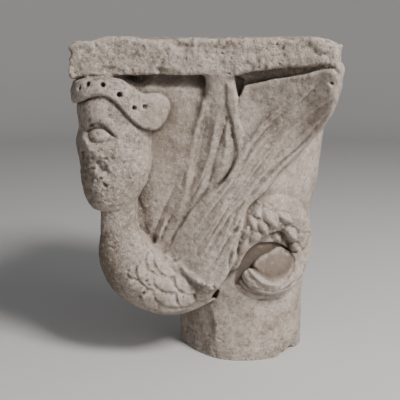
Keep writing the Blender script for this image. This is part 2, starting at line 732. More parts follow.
# Edges of the near wing's feathers, each with its drop and how far it falls away behind.
NEAR_FEATHERS = [
    ([(327, 72), (300, 101), (280, 115), (262, 133), (250, 149), (240, 168), (226, 190),
      (208, 214), (190, 244)], 4.8, 7.0),
    ([(338, 95), (315, 110), (297, 126), (278, 143), (262, 161), (246, 183), (228, 207),
      (212, 232), (198, 256)], 5.2, 7.0),
    ([(336, 104), (318, 123), (306, 137), (294, 150), (280, 161), (262, 178), (247, 197),
      (231, 214), (216, 234), (205, 252), (193, 268)], 6.0, 7.0),
    ([(320, 131), (300, 151), (281, 168), (267, 184), (252, 201), (240, 219), (228, 238),
      (214, 256), (203, 272)], 5.2, 6.0),
    ([(240, 232), (230, 250), (218, 266), (207, 282)], 3.6, 5.0),
]
NEAR_FURROWS = [
    [(300, 96), (268, 122), (248, 146)], [(312, 107), (288, 127), (270, 146)],
    [(255, 168), (232, 196), (214, 222)], [(224, 196), (204, 222), (184, 248)],
    [(262, 156), (240, 182)], [(230, 232), (212, 258)], [(222, 256), (208, 276)],
    [(238, 240), (226, 262), (214, 280)], [(318, 112), (298, 134)],
    [(206, 208), (190, 232), (178, 250)],
]
# Broad soft ribs of the far wing and the valleys between them, each with width and height.
FAR_RIBS = [
    ([(206, 95), (202, 108), (198, 122), (194, 139), (190, 164), (185, 194), (179, 212),
      (172, 230)], 3.4, 6.0),
    ([(219, 108), (215, 126), (211.7, 143), (204.5, 170), (199, 190), (188, 215),
      (180, 230)], 3.0, 5.5),
    ([(226, 118), (226.5, 133), (225.5, 150), (222, 166)], 2.6, 5.5),
]
FAR_VALLEYS = [
    ([(212, 98), (208, 115), (204, 132.5), (197, 164), (190, 195), (180, 222)], 1.8, 4.5),
    ([(226, 112), (225, 126), (218, 147), (211.7, 172), (207, 189), (196, 205)], 1.5, 6.5),
    ([(228, 114), (231.5, 128), (233.5, 143), (233, 158), (224, 178), (207, 194),
      (195, 206)], 2.4, 4.0),
    ([(231.5, 150), (228.5, 163), (221, 172)], 1.1, 4.0),
]
# Foot of the far wing against the bell, and where the near wing lies over the far one.
FAR_FOOT = [(178, 178), (172, 193), (164, 210), (159, 222), (154, 234), (154, 245)]
FAR_FOOT_FOLD = [(167, 216), (162, 228), (158, 240)]
FAR_FOOT_FURROW = [(172, 216), (165, 229), (159, 244)]
OVERLAP = [(233, 165), (226, 177), (218, 184), (207, 190), (199, 198), (193, 206), (186, 216),
           (180, 224), (174, 234), (169, 244)]
# Bumpy rope along the wing root, the furrow below it, and the middle line of its bumps.
ROPE = [(164, 252), (171, 261), (180, 267), (187, 273), (194, 279), (202, 283), (208, 286),
        (214, 286)]
ROPE_FURROW = [(163, 253), (166, 259), (172, 268), (182, 276), (191, 284), (200, 290), (208, 293),
               (215, 291)]
ROPE_BUMPS = [(165, 254), (176, 264.5), (191, 276.5), (206, 285.5), (213, 286.5)]
WING_KNOCKS = [(234, 231, 5, 3, -7.0, -0.4), (238, 225, 4, 3, 3.5), (331.6, 83.2, 2.6, 1.9, -9.0, 0.3),
               (328, 85, 5, 3, 3.0, 0.5)]


def draw_wings(picture):
    """Long feathers: each edge steps down over the next, towards the left."""
    draw_barbs(picture, NEAR_FRONT, NEAR_REAR, 120, 31, 2.6)
    draw_barbs(picture, FAR_FRONT, FAR_REAR, 34, 32, 1.9)
    for line, drop, fall in NEAR_FEATHERS:
        picture.ledge(line, drop, fall, (0.08, 0.16))
    for line in NEAR_FURROWS:
        picture.groove(line, 1.5, 2.2, (0.3, 0.3))
    for line, width, height in FAR_RIBS:
        picture.ridge(line, width, height, (0.15, 0.25))
    for line, width, depth in FAR_VALLEYS:
        picture.groove(line, width, depth, (0.12, 0.2))
    picture.groove(FAR_FOOT, 2.2, 10.0, (0.3, 0.04))
    picture.ridge(FAR_FOOT_FOLD, 1.2, 6.0, (0.2, 0.2))
    picture.groove(FAR_FOOT_FURROW, 1.4, 7.0, (0.3, 0.1))
    picture.groove(OVERLAP, 1.6, 4.5, (0.05, 0.1))
    picture.ridge(ROPE, 3.4, 9.0, (0.05, 0.05))
    picture.groove(ROPE_FURROW, 1.8, 5.0, (0.05, 0.08))
    rng = np.random.default_rng(8)
    for u, v in curve(ROPE_BUMPS, 22):
        u, v = u + rng.uniform(-1.5, 1.5), v + rng.uniform(-1.5, 1.5)
        picture.dome(u, v, rng.uniform(1.4, 3.2), rng.uniform(1.2, 2.4), rng.uniform(-3.0, 6.0), 0.6)
    for knock in WING_KNOCKS:
        picture.dome(*knock)


# Middle line of neck, breast and belly, and their radius by share of its length.
BODY_PATH = [(-306, -326, 590), (-308, -326, 470), (-300, -312, 375), (-262, -276, 300),
             (-186, -236, 260), (-116, -206, 262), (-56, -170, 280)]
BODY_SIZES = [(0, 54), (0.16, 54), (0.26, 61), (0.36, 83), (0.5, 103), (0.68, 108), (0.85, 90),
              (1, 54)]


def carve_body(block):
    """Neck, breast and belly as one swelling form."""
    cut, distance, _, _ = block.trace(BODY_PATH, BODY_SIZES, BODY_SIZES, (0.5, -0.6, 0.4), 40)
    block.add(cut, distance, 8)
    # Web of stone that joins the neck to the bell behind it.
    turn = np.radians(45)
    axes = [(np.cos(turn), -np.sin(turn), 0), (np.sin(turn), np.cos(turn), 0), (0, 0, 1)]
    block.ball((-258, -240, 450), (22, 60, 150), axes, soft=4)


# Broad overlapping plates of breast and belly, then lumps and drilled or broken holes in them.
PLATES = [
    [(150, 250), (147, 260), (150, 269), (157, 273)],
    [(156, 252), (155, 262), (160, 271), (168, 276), (175, 275)],
    [(127, 272), (133, 278), (141, 278), (148, 272)],
    [(140, 262), (137, 270), (140, 280), (147, 287), (155, 290)],
    [(155, 274), (155.5, 284), (162, 290), (171, 292), (178, 292)],
    [(175, 275), (176, 285), (180, 290), (188, 293.5), (196, 293)],
    [(121, 284), (126, 292), (134, 296), (142, 293), (147, 287)],
    [(154, 290), (156, 298), (161, 303), (168, 306), (176, 307), (182, 306)],
    [(177, 292), (178, 300), (182, 306), (190, 305), (197, 300)],
    [(196, 293), (197, 300), (204, 300), (212, 295)],
    [(141, 294), (143, 302), (149, 307), (157, 309)],
    [(157, 309), (166, 313), (176, 313), (186, 309)],
]
PLATE_LUMPS = [(150, 279), (165, 283), (184, 284), (168, 299), (188, 298), (148, 298), (133, 286),
               (162, 263), (203, 295)]
PLATE_HOLES = [(146, 281, 2.2), (148.5, 285, 1.6), (143.5, 292.5, 1.6), (183, 297, 1.3),
               (157, 276, 1.2)]
BREAST_HOLLOW = [(117, 236), (114, 246), (118, 258), (128, 268)]
NECK_EDGE = [(137, 204), (138, 216), (138, 228), (141, 238)]


def draw_body(picture):
    """Broad overlapping plates on breast and belly, left rough at the front."""
    for line in PLATES:
        picture.ledge(line[::-1], 6.5, 5.5, (0.06, 0.1), 0.1)
    for u, v in PLATE_LUMPS:
        picture.dome(u, v, 9, 7, 5.0, 0.3)
    for u, v, radius in PLATE_HOLES:
        picture.dome(u, v, radius, radius, -7.0)
    picture.groove(BREAST_HOLLOW, 3.0, 4.0, (0.3, 0.3))
    picture.groove(NECK_EDGE, 1.6, 7.0, (0.06, 0.3))


# The bare head by height: how far it lies forward, its half length and its half width.
HEAD_STATIONS = [
    (494, 16, 14, 16), (500, 17, 38, 36), (507, 18, 54, 50), (524, 18, 66, 66), (546, 13, 79, 78),
    (585, 5, 93, 90), (625, -1, 101, 97), (652, -1, 104, 98), (672, 3, 108, 100),
    (706, 3, 108, 100), (736, -1, 105, 101), (800, 0, 104, 101), (850, 2, 104, 96),
    (876, 2, 96, 88), (887, 0, 82, 72), (897, -10, 62, 48), (912, -12, 60, 46),
]


def head_parts(x, y):
    """Place of points along the face's direction and across it, from the head's middle."""
    return ((x - HEAD[0]) * FACE[0] + (y - HEAD[1]) * FACE[1],
            (x - HEAD[0]) * CHEEK[0] + (y - HEAD[1]) * CHEEK[1])


def head_form(x, y, z):
    """Distance to the bare head: broad skull, tapering jaw, flat broken front."""
    forward, sideways = head_parts(x, y)
    shift, length, width = (read([(s[0], s[k]) for s in HEAD_STATIONS], z) for k in (1, 2, 3))
    u = np.abs(forward - shift) / length
    v = np.abs(sideways) / width
    distance = ((u ** 2.5 + v ** 2.5) ** 0.4 - 1) * np.minimum(length, width) * 0.9
    return np.maximum(distance, np.maximum(HEAD_STATIONS[0][0] - z, z - HEAD_STATIONS[-1][0]))


# Outlines of the headband and of what shows under it, and the band's drilled holes.
BAND = [
    [(66, 81), (74, 79.5), (82, 78), (92, 77.2), (103, 77.6), (113, 78), (121, 79.5), (127, 83),
     (133, 87), (139, 91.5), (145, 94), (151, 93)],
    [(160, 93), (167, 98), (170, 106), (168, 115), (165, 121), (160, 127), (156, 130)],
    [(149, 129.5), (141, 127), (134, 122.5), (127.5, 116), (122.5, 110), (116.5, 104),
     (111, 99.3), (105, 96), (96, 96), (88, 98.3), (81, 101.5), (66, 105)],
]
UNDER_BAND = [
    [(55, 82), (68, 80.5), (82, 78.5), (92, 77.8), (103, 78.6), (112, 80), (120, 83), (127, 87),
     (134, 92), (140, 97), (150, 100), (185, 100)],
    [(185, 240), (120, 245), (55, 240)],
]
BAND_HOLES = [(79.3, 88.2, 6.5), (87, 84.4, 8.5), (102.4, 85, 8.0), (119.4, 94.6, 8.5),
              (134.6, 108, 8.0), (145, 106.6, 8.5)]


def carve_head(block):
    """Head under the corner in near profile, with its band, on both of its sides."""
    cut, x, y, z = block.window((-480, -480, 460), (-130, -170, 916))
    bare = head_form(x, y, z)
    forward, sideways = head_parts(x, y)
    outline = Picture(*HEAD_PART).outline(UNDER_BAND)
    u, v, _ = SHEET.place(x, y, z)
    # The cut under the band fades out on the hidden side.
    above = outline.sample(u, v) * SHEET_UNIT - 150 * ramp(-10, -80, sideways)
    block.add(cut, keep(bare, above, 4), 14)
    outline = Picture(*BAND_PART).outline(BAND)
    # The band's outline is mirrored to the hidden side.
    back = np.where(sideways < 0, 2 * sideways, 0.0)
    u, v, _ = SHEET.place(x - back * CHEEK[0], y - back * CHEEK[1], z)
    outside = outline.sample(u, v) * SHEET_UNIT
    lobe = np.sqrt(((forward + 92) / 96) ** 2 + ((np.abs(sideways) - 42) / 74) ** 2
                   + ((z - 795) / 120) ** 2)
    shell = join(bare - 14, (lobe - 1) * 74, 12)
    band = keep(shell, outside, 9)
    band = np.maximum(band, z - 888)
    block.add(cut, band, 1)


def drill_band(block):
    """Drilled holes along the band, on both sides of the head."""
    for u, v, radius in BAND_HOLES:
        p = SHEET.land(block, u, v)
        for mirror in (0, 1):
            if mirror:
                p = p - 2 * CHEEK * ((p - HEAD) @ CHEEK)
            out = from_head(p)
            block.ball(p + out * 4, (radius, radius, 30), [np.cross(out, (0, 0, 1)), (0, 0, 1), out],
                       soft=1.0, carve=True)


# Eye, with the brow's lower edge, both lids and the corner of the pupil.
BROW_EDGE = [(121, 143), (114.7, 135.5), (108.8, 129.5), (103, 124.6), (97, 122.7), (91, 123.7),
             (84, 127)]
BROW_FURROW = [(86, 127.5), (91, 124.6), (97, 123.6), (103, 125.6), (109, 130.5), (115, 136.5),
               (120, 143)]
UPPER_LID = [(86, 134.5), (89, 130.5), (93, 128.3), (99, 127.6), (106, 129.7), (111, 134.5),
             (117, 139)]
LOWER_LID = [(87, 135), (90.5, 140.3), (97, 143.4), (105, 142), (112, 138.5)]
PUPIL = [(96, 132), (98, 134.5), (99.5, 137)]
# Forehead crack, broken nose with its nostril, broken mouth, and the cheek's worn outline.
FOREHEAD_CRACK = [(79, 113), (81, 122), (80, 130), (82, 138)]
NOSE = [(82, 127), (85, 140), (90, 150), (94, 156)]
NOSTRIL = [(82.5, 149), (83.5, 155), (84.5, 160)]
NOSE_FOOT = [(86, 156), (90, 160), (94, 160)]
UPPER_LIP = [(93, 158), (99, 155.5), (106, 158.5)]
MOUTH = [(96, 160), (101, 167), (106, 172.5), (110, 175), (114.5, 171)]
LOWER_LIP = [(92, 168), (98, 176), (105, 181)]
CHEEK_LINE = [(121, 171), (126, 166.5), (133, 164.5), (141, 166), (147, 172), (147.5, 181),
              (144, 188)]
BAND_FURROW = [(70, 106), (80, 102), (88, 98.8), (96, 96.6), (104.5, 96.6), (110.5, 100),
               (116, 105), (122, 111), (127, 116.8), (133.5, 123.5), (141, 128.2), (149, 130.8),
               (157, 131), (163, 126)]
# Swellings and knocks of the face: place, half sizes, height and turn.
BROW = (93, 111, 17, 12, 8.0)
EYE_SOCKET = (99, 134, 19, 12, -9.0, 0.1)
EYEBALL = (98.3, 135.3, 10.6, 6.6, 9.0, 0.08, 3.0)
MOUTH_BREAK = (103, 169, 7, 5, -4.0, 0.7)
CHIN_KNOCKS = [(105.5, 185.5, 3.2, 2.4, -8.0, 0.8), (101, 178, 2.2, 1.8, -4.0),
               (112, 182, 2.4, 2.0, -4.0)]
CHEEKS = [(99, 192, 6, 4, 4.5, 0.6), (118, 150, 16, 10, 3.5), (136, 178, 12, 14, 5.0)]


def draw_head(picture):
    """Almond eye under its brow, broken nose and mouth, cheek and jaw."""
    for swelling in (BROW, EYE_SOCKET, EYEBALL):
        picture.dome(*swelling)
    picture.ledge(BROW_EDGE, 8.0, 5.0, (0.25, 0.15))
    picture.groove(BROW_FURROW, 2.0, 7.0, (0.25, 0.4))
    picture.groove(UPPER_LID, 1.3, 4.5, (0.2, 0.25))
    picture.groove(LOWER_LID, 1.5, 4.5, (0.25, 0.25))
    picture.groove(PUPIL, 1.2, 3.5, (0.2, 0.2))
    picture.groove(FOREHEAD_CRACK, 1.6, 6.0, (0.2, 0.2))
    picture.ridge(NOSE, 3.2, 6.0, (0.2, 0.3))
    picture.groove(NOSTRIL, 1.6, 10.0, (0.25, 0.25))
    picture.groove(NOSE_FOOT, 1.4, 3.0, (0.3, 0.3))
    picture.ridge(UPPER_LIP, 2.4, 4.0, (0.3, 0.3))
    picture.groove(MOUTH, 3.2, 8.5, (0.1, 0.25))
    picture.ridge(LOWER_LIP, 2.6, 4.5, (0.2, 0.3))
    for swelling in (MOUTH_BREAK, *CHIN_KNOCKS, *CHEEKS):
        picture.dome(*swelling)
    picture.groove(CHEEK_LINE, 0.9, 3.2, (0.2, 0.2))
    picture.groove(BAND_FURROW, 1.3, 6.5, (0.02, 0.05))


# The coiled tail's half width and half depth along it, from its root to its tip.
TAIL_WIDTHS = [(0, 36), (0.12, 48), (0.3, 64), (0.42, 56), (0.54, 44), (0.75, 34), (0.9, 28),
               (1, 10)]
TAIL_DEPTHS = [(0, 44), (0.14, 56), (0.3, 54), (0.45, 48), (0.55, 44), (0.8, 38), (1, 18)]
# Sunk crescent inside the coil, the disc that it curls around, and the hole under the wing.
CRESCENT = [
    [(235.5, 285), (236, 276), (240, 264), (247, 251.5), (254, 245), (262, 242.5), (272, 242)],
    [(281, 244), (288, 249), (290, 254), (287, 266), (276, 272), (262, 268), (254, 268)],
    [(249, 268.5), (245, 270.5), (241.5, 275), (239, 281)],
]
DISC = [
    [(276, 247), (268, 252), (260, 256), (253, 264), (254, 270), (262, 276), (268, 280),
     (276, 282), (284, 281), (291, 276), (294, 269), (294, 260), (291, 253), (285, 249),
     (280, 246.5)],
]
HOLE = [
    [(209, 301), (212, 295), (216, 290), (220, 288.5)],
    [(218.5, 294), (215, 300.5), (211.5, 303)],
]


def tail_point(turn):
    """Middle of the coiled tail: out from under the wing, over, down and curling back."""
    a = np.radians(186 - 350 * turn)
    heading = np.radians(37) + np.radians(27) * np.cos(a)
    z = 366 + (118 if np.sin(a) > 0 else 112) * np.sin(a)
    out = FOOT + 1 + 18 * ramp(0, 0.15, turn)
    return np.array([out * np.sin(heading), -out * np.cos(heading), z])


def carve_plug(block, edges, out, low, high, shoulder):
    """Flat-faced form inside a small outline in the coil, up to a distance from the axis."""
    outline = Picture(*COIL_PART).outline(edges)
    cut, x, y, z = block.window(low, high)
    u, v, _ = SHEET.place(x, y, z)
    inside = (u > COIL_PART[0][0] + 1) & (u < COIL_PART[1][0] - 2)
    outside = np.where(inside, outline.sample(u, v) * SHEET_UNIT, 60.0)
    block.add(cut, keep(np.sqrt(x * x + y * y) - out, outside, shoulder), 2)


def carve_tail(block):
    """Serpent tail: an arch over the top that curls under and in around a disc."""
    points = [(-6, -200, 330)] + [tail_point(k / 12) for k in range(13)]
    cut, distance, _, _ = block.trace(points, TAIL_WIDTHS, TAIL_DEPTHS, from_axis, 60)
    block.add(cut, distance, 4)
    carve_cavity(block, CRESCENT, FOOT + 2, (0, -330, 240), (220, -60, 480), 4)
    carve_plug(block, DISC, FOOT + 32, (0, -330, 240), (260, -60, 480), 16)
    carve_cavity(block, HOLE, FOOT - 16, (-80, -330, 200), (120, -60, 320), 5)


# Scales on the tail's arch: root, tip, half width and height. A later one lies over the rest.
TAIL_SCALES = [
    ((285, 240.5), (300.5, 251), 5.2, 6), ((274, 209.5), (292, 222.5), 5.6, 8),
    ((254.5, 202), (259.5, 218), 7.5, 8), ((262, 205.5), (276.5, 227.5), 7.8, 11),
    ((247.5, 212.5), (255.5, 229.5), 5.7, 10), ((257.5, 217.5), (267.5, 234.5), 5.6, 10),
    ((272, 227.5), (280, 241), 6.0, 9), ((279.5, 224.5), (296.5, 240.5), 8.0, 11),
    ((241.5, 242), (248.4, 226.5), 5.2, 10), ((248.5, 247), (260, 233.5), 6.4, 10),
    ((236.5, 258.5), (246.2, 241), 5.4, 11), ((229, 272), (236, 251), 4.2, 7),
]
# Cracks between the worn scales: line, width, depth and where it fades in and out.
SCALE_CRACKS = [
    ([(297, 233), (304, 232.6), (312, 232)], 0.9, 6.0, (0.1, 0.2)),
    ([(284, 249.5), (292, 252.4), (299, 251), (309, 245.6)], 1.1, 8.0, (0.1, 0.2)),
    ([(292.5, 215.8), (298.5, 213.8)], 0.9, 4.0, (0.2, 0.2)),
    ([(279, 220), (284, 224), (291, 223)], 1.0, 6.0, (0.2, 0.2)),
]
DISC_EDGE = [(291, 253), (294, 260), (294, 269), (290, 276), (284, 281)]
# Furrows between the long ribs where the tail curls under: line, width and depth.
TAIL_RIBS = [
    ([(297, 254), (298, 262), (296, 271), (291, 279), (283, 285), (280, 288)], 1.0, 5.0),
    ([(240, 275), (245, 283), (253, 287.5), (262, 290), (272, 291.5), (282, 290), (291, 284),
      (297.5, 275), (300.5, 266), (300, 256)], 1.1, 6.5),
    ([(237.5, 281), (244, 288.5), (252, 292.5), (261, 294.8), (270, 295.5), (280, 294.7),
      (288, 291.5), (296, 285), (302, 275), (304, 265), (302.5, 256)], 1.1, 6.0),
    ([(235.5, 286), (241, 291.5), (248, 296), (256, 299), (264, 299.5), (276, 298.5), (286, 296),
      (295, 291)], 1.4, 6.0),
]
# Raised lip at the coil's inner end, and two furrows beside it.
LIP = [
    [(247.5, 270), (249, 267.8), (254, 269), (259.5, 274), (265, 278.5), (271, 281), (278, 283),
     (281, 286)],
    [(275, 288.3), (266, 287), (260, 284), (253, 278), (248.5, 272.5)],
]
LIP_FURROW = [(246, 274), (252, 280), (259, 285.5), (267, 288.8), (276, 289.5)]
LIP_LINE = [(241, 274), (245, 279), (252, 284), (262, 287.5)]


def draw_tail(picture):
    """Pointed scales on the arch, long ribs where the tail curls under, and its lip."""
    for tail, tip, width, height in TAIL_SCALES:
        picture.leaf(tail, tip, width * 1.14, height * 1.6, -4.5)
    for line, width, depth, fade in SCALE_CRACKS:
        picture.groove(line, width, depth, fade)
    picture.dome(269.3, 204.4, 4, 3, -4.0)
    picture.groove(DISC_EDGE, 1.2, 8.0, (0.1, 0.2))
    for line, width, depth in TAIL_RIBS:
        picture.groove(line, width, depth, (0.03, 0.12))
    picture.patch(LIP, 9.0, 1.6)
    picture.groove(LIP_FURROW, 1.2, 4.0, (0.05, 0.1))
    picture.groove(LIP_LINE, 0.9, 4.0, (0.1, 0.2))


# Fold that runs down the foot from the hole, with its furrow, and tooling beside it.
FOOT_FOLD = [(210, 303), (213, 313), (216, 325), (217, 336), (215, 346)]
FOOT_FURROW = [(205, 306), (209, 318), (212, 330), (211, 342)]
FOOT_TOOLING = [
    [(183, 330), (194, 337), (206, 346)], [(182, 321), (192, 329), (203, 337)],
    [(188, 316), (196, 322), (204, 327)],
]
FOOT_KNOCKS = [(190, 341, 9, 4, -5.0, 0.7), (291, 346, 10, 7, -9.0, -0.5),
               (283, 356, 7, 4, -6.0, -0.5), (291.5, 331, 4, 1.5, -3.0, -0.5)]
FOOT_RINGS = [
    ([(226, 322), (240, 326), (262, 325)], 2.0), ([(232, 344), (252, 347), (276, 344)], 1.6),
]
# Chips out of the foot's lower edge: place on the sheet, half width and height.
FOOT_CHIPS = [(289, 346, 34, 13), (283, 350, 16, 17)]


def draw_foot(picture):
    """Fold below the hole under the wing, and knocks on the foot."""
    picture.ridge(FOOT_FOLD, 3.0, 5.0, (0.1, 0.3))
    picture.groove(FOOT_FURROW, 3.4, 4.0, (0.2, 0.3))
    for line in FOOT_TOOLING:
        picture.groove(line, 1.6, 3.0, (0.2, 0.2))
    for knock in FOOT_KNOCKS:
        picture.dome(*knock)
    for line, width in FOOT_RINGS:
        picture.groove(line, width, 2.0, (0.3, 0.3))


def chip_foot(block):
    """Chip out of the foot's lower edge, at the right."""
    for u, v, wide, high in FOOT_CHIPS:
        p = SHEET.land(block, u, v)
        block.ball((p[0], p[1], 0), (wide, wide, high), soft=2.0, carve=True)


# Lumps and shallow hollows on the slab's front: place, half sizes and height.
SLAB_KNOCKS = [
    (122, 41, 16, 6, 5), (96, 62, 14, 9, 4), (84, 50, 8, 5, -5), (140, 58, 15, 7, -4),
    (168, 52, 12, 8, 4), (196, 60, 14, 7, 3), (182, 46, 12, 4, -4), (218, 50, 12, 6, -3),
    (246, 58, 14, 6, 3), (272, 48, 13, 5, -4), (298, 57, 12, 5, 3), (322, 48, 10, 6, 4),
    (110, 70, 18, 4, -4), (158, 70, 16, 3, -3), (330, 58, 6, 6, -4), (76, 68, 6, 8, -4),
]
BOSS_JOIN = [(220, 74), (225, 73), (231, 74)]
BAND_JOIN = [(75, 79), (90, 76), (110, 76)]


def draw_abacus(picture):
    """Knocks, lumps and shallow hollows on the slab's front."""
    for knock in SLAB_KNOCKS:
        picture.dome(*knock)
    picture.groove(BOSS_JOIN, 0.9, 4.0, (0.1, 0.1))
    picture.groove(BAND_JOIN, 1.2, 7.0, (0.05, 0.3))


def draw_wear(picture):
    """Scattered small pits and lumps: slab, broken front of the face, breast and foot."""
    rng = np.random.default_rng(21)
    for _ in range(150):
        u, v = rng.uniform(74, 340), rng.uniform(42, 74)
        r = rng.uniform(0.6, 1.5)
        picture.dome(u, v, r * rng.uniform(0.9, 2.2), r, -rng.uniform(1.5, 4.5),
                     rng.uniform(-0.9, 0.9))
    for _ in range(190):
        u, v = rng.normal(103, 12), rng.uniform(150, 208)
        r = rng.uniform(0.7, 1.9)
        picture.dome(max(u, 84), v, r * 1.4, r, rng.uniform(-4.0, 3.5), rng.uniform(-1, 1))
    for _ in range(60):
        u, v = rng.uniform(104, 135), rng.uniform(215, 285)
        r = rng.uniform(0.8, 2.0)
        picture.dome(u, v, r, r, rng.uniform(-4.0, 2.0))
    for _ in range(60):
        u, v = rng.uniform(184, 296), rng.uniform(306, 360)
        r = rng.uniform(0.8, 2.2)
        picture.dome(u, v, r * 1.4, r, rng.uniform(-3.5, 1.0), rng.uniform(-1, 1))


def carve_stone(step, relief):
    """The whole capital: its forms, then what is drawn on them, cut flat at both beds."""
    block = Block((-460, -478, -16), (352, 352, 1020), step)
    carve_bell(block)
    carve_abacus(block)
    carve_corners(block)
    carve_bosses(block)
    carve_body(block)
    carve_wings(block)
    carve_side_wing(block)
    carve_head(block)
    carve_tail(block)
    picture = Picture(*DRAWN_PART)
    for draw in (draw_tail, draw_wings, draw_body, draw_head, draw_foot, draw_abacus, draw_wear):
        draw(picture)
    picture.height *= relief
    block.engrave(picture)
    drill_band(block)
    chip_foot(block)
    block.depth += block.cloud(58, 11) * 1.6 + block.cloud(23, 12) * 1.0 + block.cloud(9, 13) * 0.7
    z = block.axes[2][None, None, :]
    block.depth = np.maximum(block.depth, np.maximum(z - 1000, -z)).astype(np.float32)
    return block


def mesh_from(name, points, faces):
    """Mesh in metres from points in thousandths of the height."""
    mesh = bpy.data.meshes.new(name)
    mesh.vertices.add(len(points))
    mesh.vertices.foreach_set("co", (points * UNIT).astype(np.float32).ravel())
    mesh.loops.add(faces.size)
    mesh.loops.foreach_set("vertex_index", faces.astype(np.int32).ravel())
    mesh.polygons.add(len(faces))
    mesh.polygons.foreach_set("loop_start", np.arange(0, faces.size, 4, dtype=np.int32))
    mesh.update(calc_edges=True)
    mesh.validate()
    return mesh


def vertex_places(mesh):
    """Places of the mesh's points, one row for each."""
    out = np.empty(len(mesh.vertices) * 3, np.float32)
    mesh.vertices.foreach_get("co", out)
    return out.reshape(-1, 3)


# Node helpers.
class Value:
    """Number in a node tree that Python's own operators work on."""

    def __init__(self, tree, socket):
        self.tree = tree
        self.socket = socket

    def math(self, operation, *others):
        """Number that a maths node makes of this one and others."""
        node = self.tree.add("ShaderNodeMath", {"operation": operation}, (self, *others))
        return Value(self.tree, node.outputs[0])

    def __add__(self, other):
        return self.math("ADD", other)

    __radd__ = __add__

    def __mul__(self, other):
        return self.math("MULTIPLY", other)

    __rmul__ = __mul__

    def __sub__(self, other):
        return self.math("SUBTRACT", other)

    def __rsub__(self, other):
        return (self * -1.0) + other

    def clamp(self):
        """The same number, kept between nought and one."""
        node = self.tree.add("ShaderNodeClamp", {}, (self, 0.0, 1.0))
        return Value(self.tree, node.outputs[0])

    def spread(self, low, high):
        """Nought at low, one at high, smooth between."""
        node = self.tree.add("ShaderNodeMapRange", {"interpolation_type": "SMOOTHSTEP"},
                             {"Value": self, "From Min": low, "From Max": high})
        return Value(self.tree, node.outputs[0])


class Tree:
    """Node tree with one way to add any node."""

    def __init__(self, tree):
        self.tree = tree

    def add(self, kind, settings=None, values=None):
        """Add a node, set it up, then give its inputs values or links."""
        node = self.tree.nodes.new(kind)
        for name, value in (settings or {}).items():
            setattr(node, name, value)
        pairs = values.items() if isinstance(values, dict) else enumerate(values or ())
        for key, value in pairs:
            socket = node.inputs[key]
            if isinstance(value, Value):
                self.tree.links.new(value.socket, socket)
            elif isinstance(value, bpy.types.NodeSocket):
                self.tree.links.new(value, socket)
            else:
                socket.default_value = value
        return node

    def mix(self, factor, a, b):
        """Blend two colours by a factor."""
        node = self.add("ShaderNodeMix", {"data_type": "RGBA"})
        for socket, value in ((node.inputs[0], factor), (node.inputs[6], a), (node.inputs[7], b)):
            if isinstance(value, (Value, bpy.types.NodeSocket)):
                self.tree.links.new(getattr(value, "socket", value), socket)
            else:
                socket.default_value = value
        return node.outputs[2]

    def mark(self, name):
        """Number that each point of the mesh carries under a name."""
        node = self.add("ShaderNodeAttribute", {"attribute_name": name})
        return Value(self, node.outputs["Fac"])

    def noise(self, place, scale, detail=3.0, rough=0.55, shift=(0, 0, 0)):
        """Soft noise at a scale in lumps for each metre."""
        moved = self.add("ShaderNodeMapping", {}, {"Vector": place, "Location": shift})
        node = self.add("ShaderNodeTexNoise", {}, {"Vector": moved.outputs[0], "Scale": scale,
                                                   "Detail": detail, "Roughness": rough})
        return Value(self, node.outputs[0])


# What each point of the stone's skin carries for the colours.
MARKS = ("hollow", "arris", "patina", "rough")


